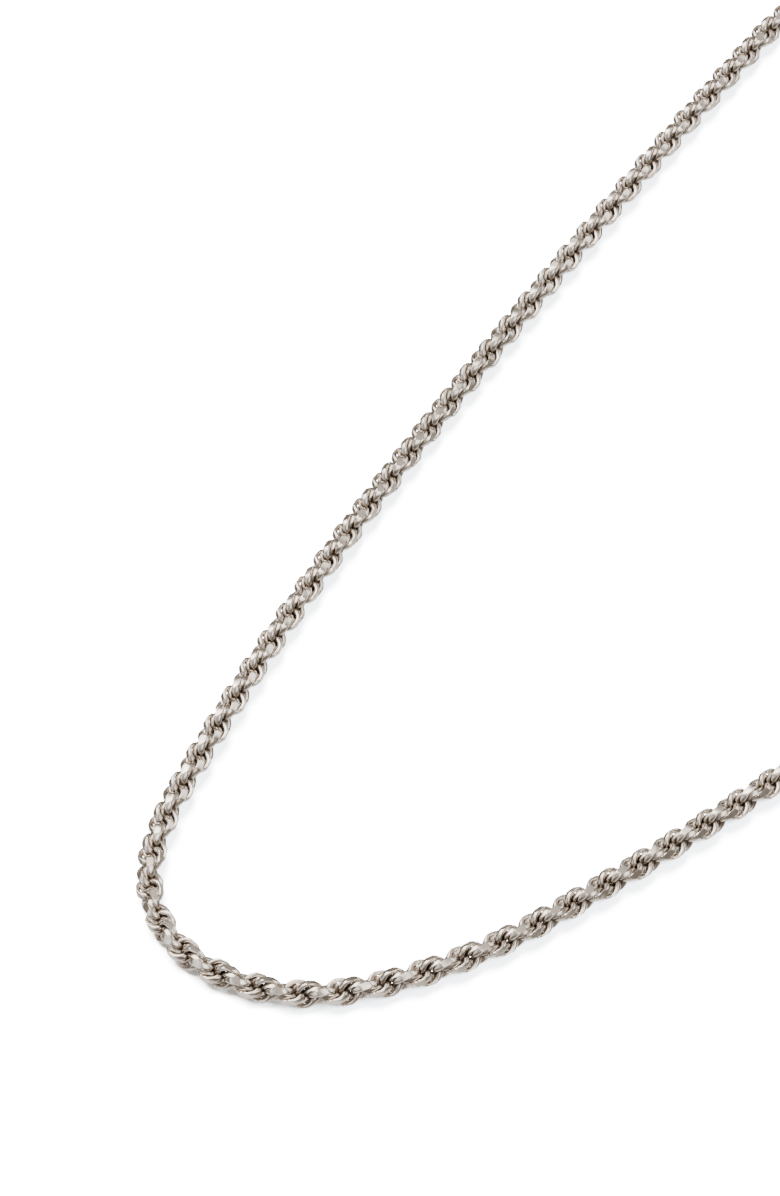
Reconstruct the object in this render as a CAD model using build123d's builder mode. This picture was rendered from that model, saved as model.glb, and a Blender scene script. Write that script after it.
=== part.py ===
from build123d import *

import math
import os

# A rope chain necklace lying on a table, in millimetres. +Z is up and the table is Z = 0.
# The rope is made of small round wire links. Each link is a ring with an assembly gap, and each one
# is threaded by the next three, so the links build up a tight two-strand twist.
# The rope lies in one open loop. Its first end carries the clasp, its last end the catch ring.
# The origin is on the table, under the middle of the rope's length, where a pendant would hang.

# ---------------------------------------------------------------- driving dimensions: the rope
wire_diameter = 0.47
facet_depth = 0.13             # how deep the diamond-cut flat goes into the outermost side
# How the links nest. These belong together: only as a set do links of round wire thread three deep
# without touching. The lengths are in wire diameters, so a thicker wire makes a thicker rope.
radius_in_wires = 3.1383       # centre of the link to the middle of its wire
gap_in_wires = 1.3192          # opening in the link, measured along the wire's middle
offset_in_wires = 0.6021       # centre of the link from the rope's middle line
pitch_in_wires = 1.7170        # step from one link to the next, along the rope
gap_direction = 258.2          # degrees round the link, from its outermost side
link_yaw = 15.0                # degrees, how far a link is turned from facing straight out
link_tilt = 8.3                # degrees, how far a link leans along the rope
twist_back = 25.34             # degrees short of half a turn from one link to the next

# ---------------------------------------------------------------- driving dimensions: the layout
lengths_in_rope = 44           # lengths of rope that hinge on each other
links_per_length = 14
first_heading = 108.0          # degrees, direction of the rope at its clasp end
# Gentle turns that the rope lies in, from its clasp end: millimetres along, degrees turned left.
lay = [
    (48, 78),
    (52, 50),
    (108, 4),
    (64, 7),
    (12, 13),
    (22, 65),
    (20, 47),
    (12, 11),
    (16, 12),
    (40, 4),
    (60, 14),
    (48, 46),
]
lift_run = 24.0                # stretch over which the rope rises from the table into its cap

# ---------------------------------------------------------------- driving dimensions: the ends
cap_wall = 0.3
cap_clearance = 0.06           # round the rope, filled with solder on the real piece
cap_end_clearance = 0.2        # from the first link to the cap's end wall
cap_end_wall = 0.6
rope_in_cap = 3.0              # how far the cap reaches over the rope
eye_mean_radius = 1.35         # eyes of the end caps, the clasp and the tag
eye_wire = 0.8
ring_mean_radius = 1.75        # the two jump rings
ring_wire = 0.8
ring_play = 0.1                # slack between a jump ring and the eye it threads

clasp_thickness = 3.0
clasp_nose_radius = 3.4
clasp_tail_radius = 1.9
clasp_reach = 9.2              # middle of the tail eye to the middle of the nose
clasp_neck = 3.4               # middle of the tail eye to the middle of the body's tail
claw_hole_radius = 2.05
claw_slot_radius = 1.0
claw_slot_reach = 3.2
pin_radius = 0.4
pin_clearance = 0.05
trigger_thickness = 1.2
trigger_slack = 0.12
spring_wire = 0.2
spring_turns = 2
edge_round = 0.5

tag_length = 8.0
tag_width = 4.4
tag_thickness = 0.8
tag_rim_angle = 45.0           # degrees below level, from the jump ring's middle to the tag's rim

# ---------------------------------------------------------------- worked out
link_mean_radius = radius_in_wires * wire_diameter
link_gap = gap_in_wires * wire_diameter
link_offset = offset_in_wires * wire_diameter
link_pitch = pitch_in_wires * wire_diameter
link_side = math.hypot(link_offset + link_mean_radius * math.cos(math.radians(link_yaw)),
                       link_mean_radius * math.sin(math.radians(link_yaw)))
rope_radius = link_side + wire_diameter / 2
facet_yaw = math.degrees(math.atan2(link_mean_radius * math.sin(math.radians(link_yaw)),
                                    link_offset + link_mean_radius * math.cos(math.radians(link_yaw))))
link_count = lengths_in_rope * links_per_length
rope_length = link_count * link_pitch
cap_radius = rope_radius + cap_clearance + cap_wall


# ---------------------------------------------------------------- the line that the rope lies in
lay_scale = rope_length / sum(length for length, turn in lay)
with BuildLine() as lay_line:
    at = (0, 0)
    heading = Vector(1, 0).rotate(Axis.Z, first_heading)
    for length, turn in lay:
        bend_radius = length * lay_scale / math.radians(turn)
        bend = JernArc(start=at, tangent=heading, radius=bend_radius, arc_size=turn)
        at = bend @ 1
        heading = bend % 1
lay_start = lay_line.wire().position_at(rope_length / 2, position_mode=PositionMode.LENGTH) * -1
lay_wire = lay_line.wire().moved(Location(lay_start))


def rope_frame(along):
    """Plane across the rope at a distance along it: Z along the rope, X to its left, Y up.
    The rope is straight and level where it's inside a cap, and past its ends."""
    inside = min(max(along, rope_in_cap), rope_length - rope_in_cap)
    point = lay_wire.position_at(inside, position_mode=PositionMode.LENGTH)
    ahead = lay_wire.tangent_at(inside, position_mode=PositionMode.LENGTH)
    point += ahead * (along - inside)
    to_cap = min(inside, rope_length - inside) - rope_in_cap
    rise = (1 + math.cos(math.pi * min(to_cap / lift_run, 1.0))) / 2
    height = rope_radius + (cap_radius - rope_radius) * rise
    left = Vector(-ahead.Y, ahead.X, 0)
    return Plane(origin=(point.X, point.Y, height), x_dir=left, z_dir=ahead)


def turned(plane, degrees):
    """The same plane, turned about its own Z."""
    x_dir = plane.x_dir.rotate(Axis((0, 0, 0), plane.z_dir), degrees)
    return Plane(origin=plane.origin, x_dir=x_dir, z_dir=plane.z_dir)


def link_place(number):
    """Where a link sits: each one turns back a little from half a turn past the one before."""
    frame = rope_frame((number + 0.5) * link_pitch)
    return turned(frame, -number * (180 - twist_back)).location


# ---------------------------------------------------------------- one link
yaw = math.radians(link_yaw)
tilt = math.radians(link_tilt)
link_plane = Plane(
    origin=(link_offset, 0, 0),
    x_dir=(math.cos(yaw), math.sin(yaw), 0),
    z_dir=(-math.sin(yaw) * math.cos(tilt), math.cos(yaw) * math.cos(tilt), math.sin(tilt)),
)
gap_angle = math.degrees(link_gap / link_mean_radius)
wire_start = turned(link_plane, gap_direction + gap_angle / 2)
facet_plane = Plane(
    origin=Vector(rope_radius - facet_depth, 0, 0).rotate(Axis.Z, facet_yaw),
    z_dir=Vector(1, 0, 0).rotate(Axis.Z, facet_yaw),
)
with BuildPart() as link:
    with BuildSketch(Plane(origin=wire_start.origin, x_dir=wire_start.x_dir, z_dir=-wire_start.y_dir)):
        with Locations((link_mean_radius, 0)):
            Circle(wire_diameter / 2)
    revolve(axis=Axis(wire_start.origin, wire_start.z_dir), revolution_arc=360 - gap_angle)
    split(bisect_by=facet_plane, keep=Keep.BOTTOM)


# ---------------------------------------------------------------- the lengths of rope
def rope_part(number):
    first = number * links_per_length
    places = [link_place(first + step) for step in range(links_per_length)]
    with BuildPart() as rope:
        with Locations(*places):
            add(link.part, mode=Mode.REPLACE, clean=False)
    return rope.part


# ---------------------------------------------------------------- the ends
def end_plane(along, outward):
    """Plane of an end of the rope: X points away from the rope, Z up."""
    frame = rope_frame(along)
    return Plane(origin=frame.origin, x_dir=frame.z_dir * outward, z_dir=(0, 0, 1))


def standing(plane, reach, height):
    """Upright plane with X outward and Y up, at a reach and a height above the table."""
    origin = plane.origin + plane.x_dir * reach
    return Plane(origin=(origin.X, origin.Y, height), x_dir=plane.x_dir, z_dir=-plane.y_dir)


def lying(plane, reach, height):
    """Level plane with X outward, at a reach and a height above the table."""
    origin = plane.origin + plane.x_dir * reach
    return Plane(origin=(origin.X, origin.Y, height), x_dir=plane.x_dir, z_dir=(0, 0, 1))


cap_front = link_mean_radius + (wire_diameter - link_pitch) / 2 + cap_end_clearance + cap_end_wall
cap_length = rope_in_cap + cap_front
eye_reach = cap_front + eye_mean_radius
eye_height = cap_radius
ring_height = ring_mean_radius + ring_wire / 2
ring_drop = eye_height - ring_height
hold = ring_mean_radius - (eye_wire + ring_wire) / 2 - ring_play
ring_reach = eye_reach + eye_mean_radius + math.sqrt(hold ** 2 - ring_drop ** 2)


def end_cap(plane):
    upright = standing(plane, 0, cap_radius)
    with BuildPart() as cap:
        with BuildSketch(upright):
            with Locations((-rope_in_cap, 0)):
                Rectangle(cap_length, cap_radius, align=(Align.MIN, Align.MIN))
        revolve(axis=Axis(upright.origin, upright.x_dir))
        along_cap = Axis(upright.origin, upright.x_dir)
        front_edge = cap.edges().filter_by(GeomType.CIRCLE).sort_by(along_cap)[-1]
        fillet(front_edge, edge_round)
        with BuildSketch(upright):
            with Locations((-rope_in_cap, 0)):
                Rectangle(
                    cap_length - cap_end_wall, rope_radius + cap_clearance, align=(Align.MIN, Align.MIN)
                )
        revolve(axis=Axis(upright.origin, upright.x_dir), mode=Mode.SUBTRACT)
        with Locations(lying(plane, eye_reach, eye_height)):
            Torus(eye_mean_radius, eye_wire / 2)
        with BuildSketch(lying(plane, cap_front, eye_height)):
            Rectangle(eye_wire, eye_wire)
        extrude(amount=eye_wire * 0.4, both=True)
    return cap.part


def jump_ring(plane):
    with BuildPart() as ring:
        with Locations(standing(plane, ring_reach, ring_height)):
            Torus(ring_mean_radius, ring_wire / 2)
    return ring.part


clasp_end = end_plane(0, -1)
catch_end = end_plane(rope_length, 1)

# The clasp's tail eye sits lower than the middle of the jump ring that it hangs on.
clasp_height = clasp_thickness / 2
tail_drop = ring_height - clasp_height
tail_reach = ring_reach + eye_mean_radius + math.sqrt(hold ** 2 - tail_drop ** 2)
pivot_reach = tail_reach + clasp_neck + 0.4
pivot_side = 0.55
nose_reach = tail_reach + clasp_reach
thumb_reach = pivot_reach - 1.3


def clasp_outline(growth=0.0):
    """The claw's outline, wider by growth, drawn in the level plane of the clasp end."""
    with Locations((tail_reach + clasp_neck, 0)):
        Circle(clasp_tail_radius + growth)
    with Locations((nose_reach, 0)):
        Circle(clasp_nose_radius + growth)
    make_hull()


def claw_hollow(growth=0.0):
    """The hollow that the catch ring sits in."""
    with Locations((nose_reach, 0)):
        Circle(claw_hole_radius + growth)
    with Locations((nose_reach - claw_slot_reach, -0.2)):
        Circle(claw_slot_radius + growth)
    make_hull()


ground = lying(clasp_end, 0, 0)
middle = lying(clasp_end, 0, clasp_height)
pin_axis = Axis(lying(clasp_end, pivot_reach, 0).from_local_coords(Vector(0, pivot_side, 0)), (0, 0, 1))
pocket_height = trigger_thickness + (spring_turns + 1) * spring_wire * 1.3 + 2 * trigger_slack
gate_start = pivot_reach + 1.4
gate_reach = nose_reach + 1.6 - pivot_reach     # from the pivot to the hook's tip

with BuildPart() as clasp_body:
    with BuildSketch(ground):
        clasp_outline()
    extrude(amount=clasp_thickness)
    fillet(clasp_body.edges().group_by(Axis.Z)[-1] + clasp_body.edges().group_by(Axis.Z)[0], edge_round)
    with BuildSketch(ground):
        claw_hollow()
    extrude(amount=clasp_thickness, mode=Mode.SUBTRACT)
    with BuildSketch(ground):
        with Locations((gate_start, claw_hole_radius * 0.3)):
            Rectangle(gate_reach, clasp_nose_radius, align=(Align.MIN, Align.MIN))
        with Locations((pivot_reach, pivot_side)):
            Circle(gate_reach, mode=Mode.INTERSECT)
    extrude(amount=clasp_thickness, mode=Mode.SUBTRACT)
    with BuildSketch(lying(clasp_end, 0, clasp_height - pocket_height / 2)):
        with Locations((pivot_reach - 2.2, pivot_side - 1.25)):
            Rectangle(gate_start - pivot_reach + 3.0, clasp_nose_radius + 1.25, align=(Align.MIN, Align.MIN))
    extrude(amount=pocket_height, mode=Mode.SUBTRACT)
    with BuildSketch(ground):
        with Locations((pivot_reach, pivot_side)):
            Circle(pin_radius)
    extrude(amount=clasp_thickness, mode=Mode.SUBTRACT)
    with Locations(lying(clasp_end, tail_reach, clasp_height)):
        Torus(eye_mean_radius, eye_wire / 2)
    with BuildSketch(lying(clasp_end, tail_reach + eye_mean_radius + 0.15, clasp_height)):
        Rectangle(0.9, eye_wire)
    extrude(amount=eye_wire * 0.4, both=True)

trigger_low = clasp_height + pocket_height / 2 - trigger_slack - trigger_thickness
with BuildPart() as clasp_trigger:
    with BuildSketch(lying(clasp_end, 0, trigger_low)):
        clasp_outline()
        with BuildSketch(mode=Mode.PRIVATE) as hollow:
            claw_hollow(trigger_slack)
        add(hollow.sketch, mode=Mode.SUBTRACT)
        with Locations((pivot_reach - 0.95, pivot_side + 0.35)):
            Rectangle(gate_reach + 0.95, 9, align=(Align.MIN, Align.MIN), mode=Mode.INTERSECT)
        with Locations((pivot_reach, pivot_side)):
            Circle(gate_reach - trigger_slack, mode=Mode.INTERSECT)
        with Locations((pivot_reach, pivot_side)):
            Circle(0.95)
        with Locations((thumb_reach + 0.6, pivot_side + 2.2)):
            Rectangle(1.1, 2.4)
        with Locations((thumb_reach + 0.35, pivot_side + 3.5)):
            Circle(0.85)
    extrude(amount=trigger_thickness)
    with BuildSketch(lying(clasp_end, 0, trigger_low)):
        with Locations((pivot_reach, pivot_side)):
            Circle(pin_radius + pin_clearance)
    extrude(amount=trigger_thickness, mode=Mode.SUBTRACT)

with BuildPart() as clasp_pin:
    with BuildSketch(ground):
        with Locations((pivot_reach, pivot_side)):
            Circle(pin_radius)
    extrude(amount=clasp_thickness)

spring_radius = pin_radius + pin_clearance + spring_wire
spring_pitch = spring_wire * 1.3
spring_foot = clasp_height - pocket_height / 2 + spring_wire * 0.6
with BuildPart() as clasp_spring:
    coil_plane = lying(clasp_end, pivot_reach, spring_foot)
    coil_centre = coil_plane.from_local_coords(Vector(0, pivot_side, 0))
    coil_plane = Plane(origin=coil_centre, x_dir=coil_plane.x_dir, z_dir=(0, 0, 1))
    with BuildLine(coil_plane) as coil:
        Helix(pitch=spring_pitch, height=spring_pitch * spring_turns, radius=spring_radius)
    with BuildSketch(Plane(origin=coil.line @ 0, z_dir=coil.line % 0)):
        Circle(spring_wire / 2)
    sweep(is_frenet=True)

# The tag leans: the rim of its hole hangs in the jump ring and its far tip rests on the table.
rim_hold = ring_mean_radius - ring_wire / 2 - math.hypot(eye_wire, tag_thickness) / 2 - ring_play
rim_height = ring_height - rim_hold * math.sin(math.radians(tag_rim_angle))
tag_lean = math.asin((rim_height - tag_thickness / 2) / (tag_length - eye_wire / 2))
rim_reach = ring_reach + rim_hold * math.cos(math.radians(tag_rim_angle))
rim_place = lying(catch_end, rim_reach, rim_height)
tag_plane = Plane(
    origin=rim_place.origin,
    x_dir=rim_place.x_dir * math.cos(tag_lean) - rim_place.z_dir * math.sin(tag_lean),
    z_dir=rim_place.x_dir * math.sin(tag_lean) + rim_place.z_dir * math.cos(tag_lean),
)
with BuildPart() as hang_tag:
    with BuildSketch(tag_plane):
        with Locations((tag_length / 2 - eye_wire / 2, 0)):
            Ellipse(tag_length / 2, tag_width / 2)
        with Locations((eye_mean_radius, 0)):
            Circle(eye_mean_radius - eye_wire / 2, mode=Mode.SUBTRACT)
    extrude(amount=tag_thickness / 2, both=True)

# ---------------------------------------------------------------- the written pieces
os.makedirs("parts", exist_ok=True)
pieces = {
    "clasp_end_cap": end_cap(clasp_end),
    "catch_end_cap": end_cap(catch_end),
    "clasp_ring": jump_ring(clasp_end),
    "catch_ring": jump_ring(catch_end),
    "clasp_body": clasp_body.part,
    "clasp_trigger": clasp_trigger.part,
    "clasp_pin": clasp_pin.part,
    "clasp_spring": clasp_spring.part,
    "hang_tag": hang_tag.part,
}
for number in range(lengths_in_rope):
    pieces[f"chain_length_{number + 1:02d}"] = rope_part(number)
for name, piece in pieces.items():
    piece.label = name
    export_step(piece, f"parts/{name}.step")
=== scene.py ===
import math

import bmesh
import bpy
import numpy as np
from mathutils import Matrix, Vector


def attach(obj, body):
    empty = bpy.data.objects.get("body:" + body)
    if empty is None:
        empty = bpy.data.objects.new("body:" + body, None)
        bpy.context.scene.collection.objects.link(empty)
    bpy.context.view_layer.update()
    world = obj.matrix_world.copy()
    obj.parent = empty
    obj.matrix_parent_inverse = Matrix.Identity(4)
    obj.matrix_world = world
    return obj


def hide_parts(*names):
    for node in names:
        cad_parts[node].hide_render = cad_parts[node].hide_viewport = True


# The looks of a diamond-cut silver rope chain necklace that lies on a white table. Metres.
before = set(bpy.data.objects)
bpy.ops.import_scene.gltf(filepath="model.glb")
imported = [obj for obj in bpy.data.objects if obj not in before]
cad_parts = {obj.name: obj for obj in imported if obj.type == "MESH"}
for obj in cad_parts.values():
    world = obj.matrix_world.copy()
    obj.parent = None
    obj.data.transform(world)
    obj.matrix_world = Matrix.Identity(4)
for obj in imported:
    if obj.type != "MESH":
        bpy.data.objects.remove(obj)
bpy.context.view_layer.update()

# ------------------------------------------------------------ the rope's dimensions, as in the CAD
WIRE = 0.47e-3
LINK_RADIUS = 1.475e-3
LINK_GAP = 0.62e-3
GAP_DIRECTION = 258.2
LINK_OFFSET = 0.283e-3
LINK_YAW = 15.0
LINK_TILT = 8.3
LINK_PITCH = 0.807e-3
TWIST_BACK = 25.34
FACET_DEPTH = 0.13e-3
LENGTHS = 44
LINKS_PER_LENGTH = 14
FIRST_HEADING = 108.0
LAY = [(48, 78), (52, 50), (108, 4), (64, 7), (12, 13), (22, 65), (20, 47), (12, 11), (16, 12),
       (40, 4), (60, 14), (48, 46)]
LIFT_RUN = 24.0e-3
ROPE_IN_CAP = 3.0e-3
CAP_OVER_ROPE = 0.36e-3

side_x = LINK_OFFSET + LINK_RADIUS * math.cos(math.radians(LINK_YAW))
side_y = LINK_RADIUS * math.sin(math.radians(LINK_YAW))
ROPE_RADIUS = math.hypot(side_x, side_y) + WIRE / 2
FACET_YAW = math.atan2(side_y, side_x)
LINK_TURN = math.radians(180 - TWIST_BACK)
LINK_COUNT = LENGTHS * LINKS_PER_LENGTH
ROPE_LENGTH = LINK_COUNT * LINK_PITCH


# ------------------------------------------------------------ the line that the rope lies in
def lay_point(along):
    """Point and heading on the chain of arcs that the rope lies in."""
    scale = ROPE_LENGTH / sum(length for length, turn in LAY)
    x, y, heading = 0.0, 0.0, math.radians(FIRST_HEADING)
    left = along
    for length, turn in LAY:
        length, turn = length * scale, math.radians(turn)
        radius = length / turn
        part = min(left, length)
        angle = part / radius
        x += radius * (math.sin(heading + angle) - math.sin(heading))
        y -= radius * (math.cos(heading + angle) - math.cos(heading))
        heading += angle
        left -= part
        if left <= 0:
            break
    return np.array([x, y]), heading


MIDDLE = lay_point(ROPE_LENGTH / 2)[0]


def rope_frame(along):
    """Origin and the three axes (left, up, ahead) of the rope at a distance along it."""
    inside = min(max(along, ROPE_IN_CAP), ROPE_LENGTH - ROPE_IN_CAP)
    point, heading = lay_point(inside)
    ahead = np.array([math.cos(heading), math.sin(heading), 0.0])
    to_cap = min(inside, ROPE_LENGTH - inside) - ROPE_IN_CAP
    rise = (1 + math.cos(math.pi * min(to_cap / LIFT_RUN, 1.0))) / 2
    lifted = np.array([*(point - MIDDLE), ROPE_RADIUS + CAP_OVER_ROPE * rise])
    origin = lifted + ahead * (along - inside)
    left = np.array([-ahead[1], ahead[0], 0.0])
    return origin, np.array([left, (0, 0, 1), ahead]).T


def about_z(radians):
    c, s = math.cos(radians), math.sin(radians)
    return np.array([[c, -s, 0], [s, c, 0], [0, 0, 1]])


# ------------------------------------------------------------ one link, pressed against its neighbours
ROPE_SHARP = math.radians(28)
FITTING_SHARP = math.radians(35)
AROUND = 66                    # steps along a link's wire
SECTION = 22                   # points round the wire
NEIGHBOUR_STEPS = 160          # points tried along the wire of a neighbouring link
NEIGHBOURS = 8                 # links before and after that can be touched
SMOOTHINGS = 3
THICKEST = 0.50e-3             # half the width of a pressed wire where there's room for it
CREVICE = 0.012e-3             # half the gap left between two pressed wires
SKIN = 0.01e-3                 # how far the pressed wire stays inside the rope's own radius
GAP_CLOSED = 0.18e-3           # how much of the link's gap the pressing closes
yaw, tilt = math.radians(LINK_YAW), math.radians(LINK_TILT)
link_x = np.array([math.cos(yaw), math.sin(yaw), 0.0])
link_z = np.array([-math.sin(yaw) * math.cos(tilt), math.cos(yaw) * math.cos(tilt), math.sin(tilt)])
link_y = np.cross(link_z, link_x)
gap_angle = (LINK_GAP - GAP_CLOSED) / LINK_RADIUS
first_angle = math.radians(GAP_DIRECTION) + gap_angle / 2


def wire_line(steps):
    """Points along the middle of a link's wire and the directions straight out of the ring."""
    t = first_angle + (2 * math.pi - gap_angle) * np.linspace(0, 1, steps)
    out = np.cos(t)[:, None] * link_x + np.sin(t)[:, None] * link_y
    return np.array([LINK_OFFSET, 0, 0]) + LINK_RADIUS * out, out


def pressed_width():
    """How far the wire reaches from its middle in each direction, without touching another link."""
    centre, out = wire_line(AROUND + 1)
    other = wire_line(NEIGHBOUR_STEPS)[0]
    around = np.linspace(0, 2 * math.pi, SECTION, endpoint=False)
    ray = np.cos(around)[None, :, None] * out[:, None, :] + np.sin(around)[None, :, None] * link_z
    radial = centre * (1, 1, 0)
    radial /= np.linalg.norm(radial, axis=1)[:, None]
    outward = np.maximum(np.einsum("tsk,tk->ts", ray, radial), 0)
    width = ((outward / (WIRE / 2)) ** 4 + ((1 - outward ** 2) / THICKEST ** 2) ** 2) ** -0.25
    for step in range(-NEIGHBOURS, NEIGHBOURS + 1):
        if step == 0:
            continue
        near = other @ about_z(-step * LINK_TURN).T + np.array([0, 0, step * LINK_PITCH])
        for point in near:
            apart = centre - point
            facing = CREVICE - np.einsum("tsk,tk->ts", ray, apart)
            square = np.einsum("tk,tk->t", apart, apart)[:, None]
            room = (square - CREVICE ** 2) / (2 * np.maximum(facing, 1e-9))
            width = np.where(facing > 0, np.minimum(width, room), width)
    flat = np.einsum("tsk,tsk->ts", ray[:, :, :2], ray[:, :, :2])
    across = np.einsum("tsk,tk->ts", ray[:, :, :2], centre[:, :2])
    from_axis = np.einsum("tk,tk->t", centre[:, :2], centre[:, :2])[:, None]
    inside = (ROPE_RADIUS - SKIN) ** 2 - from_axis
    reach = (-across + np.sqrt(across ** 2 + flat * inside)) / np.maximum(flat, 1e-9)
    width = limit = np.minimum(width, reach)
    for _ in range(SMOOTHINGS):
        ends = np.concatenate([width[:1], width, width[-1:]])
        blurred = (ends[:-2] + ends[2:] + np.roll(width, 1, 1) + np.roll(width, -1, 1) + 2 * width) / 6
        width = np.minimum(limit, blurred)
    return centre, ray, width


LINE, RAY, WIDTH = pressed_width()


def link_mesh(facet_lean, facet_turn, depth):
    """A link as vertices and faces, cut by its flat, which leans and turns a little."""
    bm = bmesh.new()
    surface = LINE[:, None, :] + RAY * WIDTH[:, :, None]
    rings = [[bm.verts.new(p) for p in ring] for ring in surface]
    for a, b in zip(rings, rings[1:]):
        for j in range(SECTION):
            k = (j + 1) % SECTION
            bm.faces.new((a[j], b[j], b[k], a[k]))
    bm.faces.new(rings[0])
    bm.faces.new(rings[-1][::-1])
    normal = Vector((math.cos(FACET_YAW + facet_turn) * math.cos(facet_lean),
                     math.sin(FACET_YAW + facet_turn) * math.cos(facet_lean), math.sin(facet_lean)))
    centre = Vector((math.cos(FACET_YAW), math.sin(FACET_YAW), 0)) * (ROPE_RADIUS - depth)
    cut = bmesh.ops.bisect_plane(bm, geom=bm.verts[:] + bm.edges[:] + bm.faces[:], plane_co=centre,
                                 plane_no=normal, clear_outer=True, dist=1e-9)
    rim = [e for e in cut["geom_cut"] if isinstance(e, bmesh.types.BMEdge)]
    bmesh.ops.edgeloop_fill(bm, edges=rim)
    bmesh.ops.recalc_face_normals(bm, faces=bm.faces[:])
    bm.verts.index_update()
    verts = np.array([v.co for v in bm.verts])
    faces = [tuple(v.index for v in f.verts) for f in bm.faces]
    bm.free()
    return verts, faces


# No two flats are cut quite alike: each leans, turns and goes in a little differently.
CUT_KINDS = 12
CUT_LEAN = math.radians(3.0)
CUT_TURN = math.radians(4.0)
DEEPER_CUT = 0.035e-3
rng = np.random.default_rng(7)
CUTS = [link_mesh(*(rng.uniform(-1, 1, 2) * (CUT_LEAN, CUT_TURN)),
                  FACET_DEPTH + rng.uniform(0.0, DEEPER_CUT)) for _ in range(CUT_KINDS)]


def rope_piece(number):
    """The links of one length of rope as one mesh."""
    verts, faces, deep = [], [], []
    total = 0
    for step in range(LINKS_PER_LENGTH):
        link = number * LINKS_PER_LENGTH + step
        origin, axes = rope_frame((link + 0.5) * LINK_PITCH)
        turn = about_z(-link * LINK_TURN)
        cut_verts, cut_faces = CUTS[rng.integers(len(CUTS))]
        spun = cut_verts @ turn.T
        verts.append(spun @ axes.T + origin)
        # How far each point sits from the rope's axis, kept to darken the silver deep inside the rope:
        # tarnish there plus painted shade in the crevices.
        deep.append(np.hypot(spun[:, 0], spun[:, 1]) / ROPE_RADIUS)
        faces += [tuple(v + total for v in f) for f in cut_faces]
        total += len(cut_verts)
    mesh = bpy.data.meshes.new(f"rope_{number + 1:02d}")
    mesh.from_pydata(np.concatenate(verts).tolist(), [], faces)
    # Stored for the darkening deep inside the rope, which is partly tarnish and partly painted shade.
    tarnish_and_shade = mesh.attributes.new("tarnish_and_shade", "FLOAT", "POINT")
    tarnish_and_shade.data.foreach_set("value", np.concatenate(deep).astype(np.float32))
    mesh.shade_smooth()
    mesh.set_sharp_from_angle(angle=ROPE_SHARP)
    piece = bpy.data.objects.new(f"rope_{number + 1:02d}", mesh)
    bpy.context.scene.collection.objects.link(piece)
    return piece


# ------------------------------------------------------------ materials
def silver(name, bright, dark, rough, tarnish_and_shade=False):
    """Polished silver, cloudy and finely scratched; the rope's silver is also darker deep inside the
    rope: tarnish there, plus painted shade in the crevices.
    """
    material = bpy.data.materials.new(name)
    material.use_nodes = True
    nodes, links = material.node_tree.nodes, material.node_tree.links
    shader = nodes["Principled BSDF"]
    shader.inputs["Metallic"].default_value = 1.0
    place = nodes.new("ShaderNodeTexCoord")
    cloud = nodes.new("ShaderNodeTexNoise")
    cloud.inputs["Scale"].default_value = 420.0
    cloud.inputs["Detail"].default_value = 4.0
    links.new(place.outputs["Object"], cloud.inputs["Vector"])
    tint = nodes.new("ShaderNodeValToRGB")
    tint.color_ramp.elements[0].position = 0.35
    tint.color_ramp.elements[0].color = (*dark, 1)
    tint.color_ramp.elements[1].position = 0.62
    tint.color_ramp.elements[1].color = (*bright, 1)
    links.new(cloud.outputs["Fac"], tint.inputs["Fac"])
    colour = tint.outputs["Color"]
    # Darker deep inside the rope: brown tarnish in the hollows plus painted shade where the links hide
    # each other.
    if tarnish_and_shade:
        depth = nodes.new("ShaderNodeAttribute")
        depth.attribute_name = "tarnish_and_shade"
        tarnish_and_shade_fade = nodes.new("ShaderNodeMapRange")
        tarnish_and_shade_fade.inputs["From Min"].default_value = 0.45
        tarnish_and_shade_fade.inputs["From Max"].default_value = 0.9
        tarnish_and_shade_fade.inputs["To Min"].default_value = 0.35
        tarnish_and_shade_fade.inputs["To Max"].default_value = 1.0
        links.new(depth.outputs["Fac"], tarnish_and_shade_fade.inputs["Value"])
        mix = nodes.new("ShaderNodeMix")
        mix.data_type = "RGBA"
        # The colour of the deepest crevices: brown tarnish, darkened further as painted shade.
        mix.inputs["A"].default_value = (0.17, 0.13, 0.10, 1)
        links.new(tarnish_and_shade_fade.outputs["Result"], mix.inputs["Factor"])
        links.new(colour, mix.inputs["B"])
        colour = mix.outputs["Result"]
    links.new(colour, shader.inputs["Base Color"])
    fine = nodes.new("ShaderNodeTexNoise")
    fine.inputs["Scale"].default_value = 2600.0
    fine.inputs["Detail"].default_value = 6.0
    links.new(place.outputs["Object"], fine.inputs["Vector"])
    spread = nodes.new("ShaderNodeMapRange")
    spread.inputs["To Min"].default_value = rough[0]
    spread.inputs["To Max"].default_value = rough[1]
    links.new(fine.outputs["Fac"], spread.inputs["Value"])
    links.new(spread.outputs["Result"], shader.inputs["Roughness"])
    scratch = nodes.new("ShaderNodeBump")
    scratch.inputs["Strength"].default_value = 0.06
    scratch.inputs["Distance"].default_value = 0.00002
    links.new(fine.outputs["Fac"], scratch.inputs["Height"])
    links.new(scratch.outputs["Normal"], shader.inputs["Normal"])
    return material


# The rope's silver gets tarnish plus painted shade deep inside the rope.
rope_silver = silver("rope_silver", (0.87, 0.805, 0.735), (0.76, 0.70, 0.635), (0.09, 0.24), tarnish_and_shade=True)
fitting_silver = silver("fitting_silver", (0.82, 0.80, 0.77), (0.72, 0.70, 0.67), (0.10, 0.24))

for number in range(LENGTHS):
    node = f"chain_length_{number + 1:02d}"
    piece = rope_piece(number)
    piece.data.materials.append(rope_silver)
    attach(piece, f"length_{number + 1:02d}")
    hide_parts(node)

for name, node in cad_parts.items():
    if not name.startswith("chain_length"):
        node.data.materials.clear()
        node.data.materials.append(fitting_silver)
        node.data.shade_smooth()
        node.data.set_sharp_from_angle(angle=FITTING_SHARP)

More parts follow.
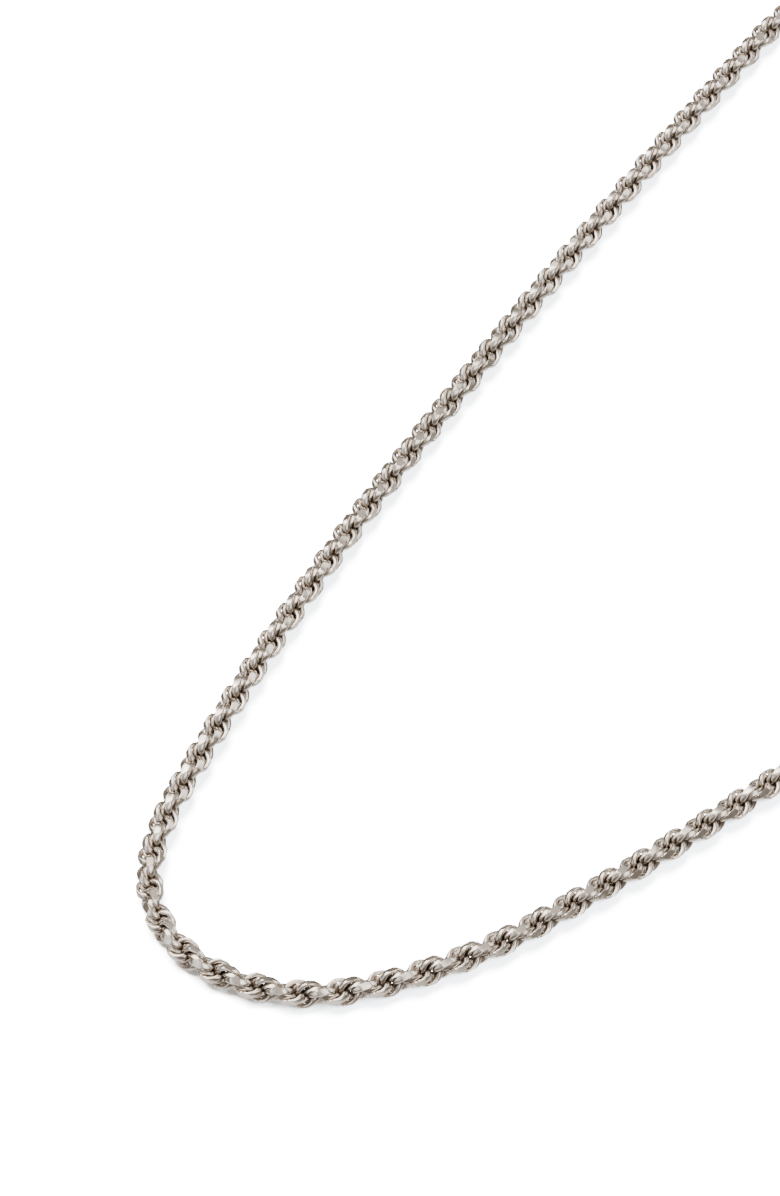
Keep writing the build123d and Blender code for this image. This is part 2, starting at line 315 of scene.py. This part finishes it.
# ------------------------------------------------------------ the white table
TABLE = 3                      # half its side
TABLE_DROP = 2e-5              # below the rope's underside
corners = [(-TABLE, -TABLE, 0), (TABLE, -TABLE, 0), (TABLE, TABLE, 0), (-TABLE, TABLE, 0)]
floor_mesh = bpy.data.meshes.new("floor")
floor_mesh.from_pydata(corners, [], [(0, 1, 2, 3)])
floor = bpy.data.objects.new("floor", floor_mesh)
bpy.context.scene.collection.objects.link(floor)
paper = bpy.data.materials.new("paper")
paper.use_nodes = True
matt = paper.node_tree.nodes["Principled BSDF"].inputs
matt["Base Color"].default_value = (0.93, 0.93, 0.94, 1)
matt["Roughness"].default_value = 0.9
matt["Specular IOR Level"].default_value = 0.1
floor_mesh.materials.append(paper)
floor.location.z = -TABLE_DROP
floor.visible_glossy = False   # the silver mirrors the studio instead


# ------------------------------------------------------------ light
def area(name, place, size, energy, colour=(1, 1, 1)):
    """A round lamp aimed at the middle of the loop, which the silver doesn't mirror."""
    light = bpy.data.lights.new(name, "AREA")
    light.shape = "DISK"
    light.size = size
    light.energy = energy
    light.color = colour
    lamp = bpy.data.objects.new(name, light)
    lamp.location = place
    lamp.rotation_euler = (-Vector(place)).to_track_quat("-Z", "Y").to_euler()
    lamp.visible_glossy = False
    bpy.context.scene.collection.objects.link(lamp)


area("key", (-0.35, 0.40, 1.15), 1.1, 420.0)
area("fill", (0.9, -0.5, 0.9), 0.8, 150.0, (0.88, 0.94, 1.0))

# The studio round the table: a grey room with soft boxes, which is what the silver mirrors.
world = bpy.data.worlds.new("studio")
world.use_nodes = True
nodes, links = world.node_tree.nodes, world.node_tree.links
sky = nodes["Background"]
where = nodes.new("ShaderNodeTexCoord")


def soft_box(direction, inner, outer, strength, colour):
    """A round soft box seen in a direction, full inside one angle and gone outside the other."""
    point = nodes.new("ShaderNodeVectorMath")
    point.operation = "DOT_PRODUCT"
    point.inputs[1].default_value = Vector(direction).normalized()
    links.new(where.outputs["Generated"], point.inputs[0])
    edge = nodes.new("ShaderNodeMapRange")
    edge.interpolation_type = "SMOOTHSTEP"
    edge.inputs["From Min"].default_value = math.cos(math.radians(outer))
    edge.inputs["From Max"].default_value = math.cos(math.radians(inner))
    links.new(point.outputs["Value"], edge.inputs["Value"])
    scaled = nodes.new("ShaderNodeVectorMath")
    scaled.operation = "SCALE"
    scaled.inputs[0].default_value = [c * strength for c in colour]
    links.new(edge.outputs["Result"], scaled.inputs["Scale"])
    return scaled.outputs["Vector"]


glow = [
    soft_box((-0.40, 0.35, 0.85), 14, 38, 6.5, (1.0, 0.95, 0.89)),
    soft_box((0.45, -0.45, 0.75), 6, 30, 3.2, (1.0, 0.96, 0.91)),
    soft_box((0.9, 0.5, 0.35), 8, 28, 2.4, (1.0, 0.96, 0.91)),
    soft_box((-0.9, -0.5, 0.4), 8, 30, 1.4, (0.95, 0.97, 1.0)),
    soft_box((0, 0, -1), 40, 85, 1.2, (1.0, 0.97, 0.93)),
    soft_box((0, 0, 1), 10, 80, 0.55, (1.0, 0.95, 0.89)),
]
total = glow[0]
for part in glow[1:]:
    both = nodes.new("ShaderNodeVectorMath")
    both.operation = "ADD"
    links.new(total, both.inputs[0])
    links.new(part, both.inputs[1])
    total = both.outputs["Vector"]
room = nodes.new("ShaderNodeVectorMath")
room.operation = "ADD"
room.inputs[1].default_value = (0.24, 0.215, 0.185)
links.new(total, room.inputs[0])
links.new(room.outputs["Vector"], sky.inputs["Color"])
bpy.context.scene.world = world

# ------------------------------------------------------------ camera
ELEVATION = math.radians(48.96)
DISTANCE = 0.8411
LENS = 180.60201               # millimetres
NEAREST = 0.01
look_at = Vector((0.02028, 0.01579, 0.002))
forward = Vector((0, math.cos(ELEVATION), -math.sin(ELEVATION)))
lens = bpy.data.cameras.new("camera")
lens.lens = LENS
lens.clip_start = NEAREST
camera = bpy.data.objects.new("camera", lens)
camera.location = look_at - forward * DISTANCE
camera.rotation_euler = forward.to_track_quat("-Z", "Y").to_euler()
bpy.context.scene.collection.objects.link(camera)
bpy.context.scene.camera = camera
